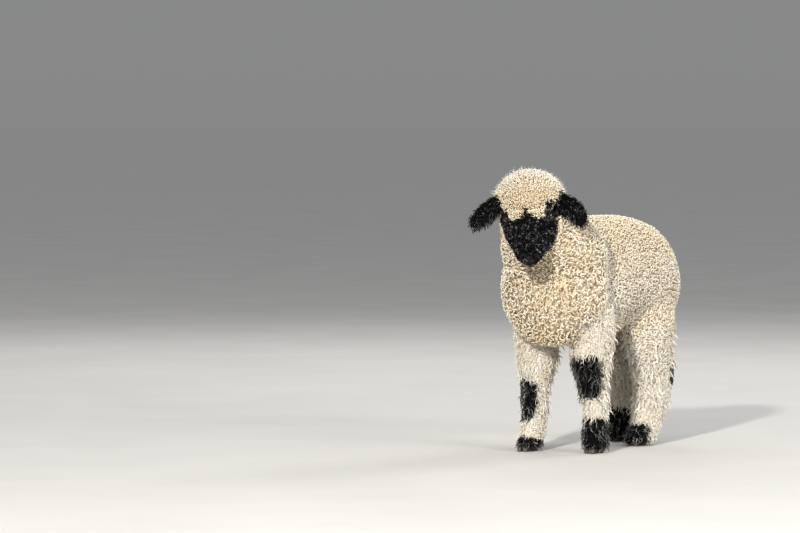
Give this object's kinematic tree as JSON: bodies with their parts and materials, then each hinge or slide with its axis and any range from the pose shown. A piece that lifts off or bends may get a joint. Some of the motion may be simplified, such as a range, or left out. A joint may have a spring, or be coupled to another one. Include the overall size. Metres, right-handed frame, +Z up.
{
  "type": "valais blacknose sheep lamb",
  "caption": "Standing Valais Blacknose lamb, life-size still model: white curly fleece, black face, ears, knees and feet, head turned and lowered.",
  "frame": {"origin": "middle of the part's box, on the floor under it", "axes": "+Z up; the lamb faces -Y; +X is its left side"},
  "size_m": [0.2214, 0.604, 0.5311],
  "materials": {
    "fleece": "matt cream curls",
    "face_wool": "short black curls, cream crown",
    "black_wool": "short black curls",
    "leg_wool": "soft white wool with black patches",
    "eye": "wet gloss",
    "horn": "dull horn"
  },
  "bodies": {
    "root": {"head": "face_wool", "neck": "fleece", "torso": "fleece", "tail": "fleece", "ear_left": "black_wool", "ear_right": "black_wool", "eye_left": "eye", "eye_right": "eye", "foreleg_left_upper": "leg_wool", "foreleg_left_lower": "leg_wool", "foreleg_right_upper": "leg_wool", "foreleg_right_lower": "leg_wool", "hindleg_left_upper": "leg_wool", "hindleg_left_lower": "leg_wool", "hindleg_right_upper": "leg_wool", "hindleg_right_lower": "leg_wool", "foreleg_left_claw_outer": "horn", "foreleg_left_claw_inner": "horn", "foreleg_right_claw_outer": "horn", "foreleg_right_claw_inner": "horn", "hindleg_left_claw_outer": "horn", "hindleg_left_claw_inner": "horn", "hindleg_right_claw_outer": "horn", "hindleg_right_claw_inner": "horn"}
  },
  "joints": []
}
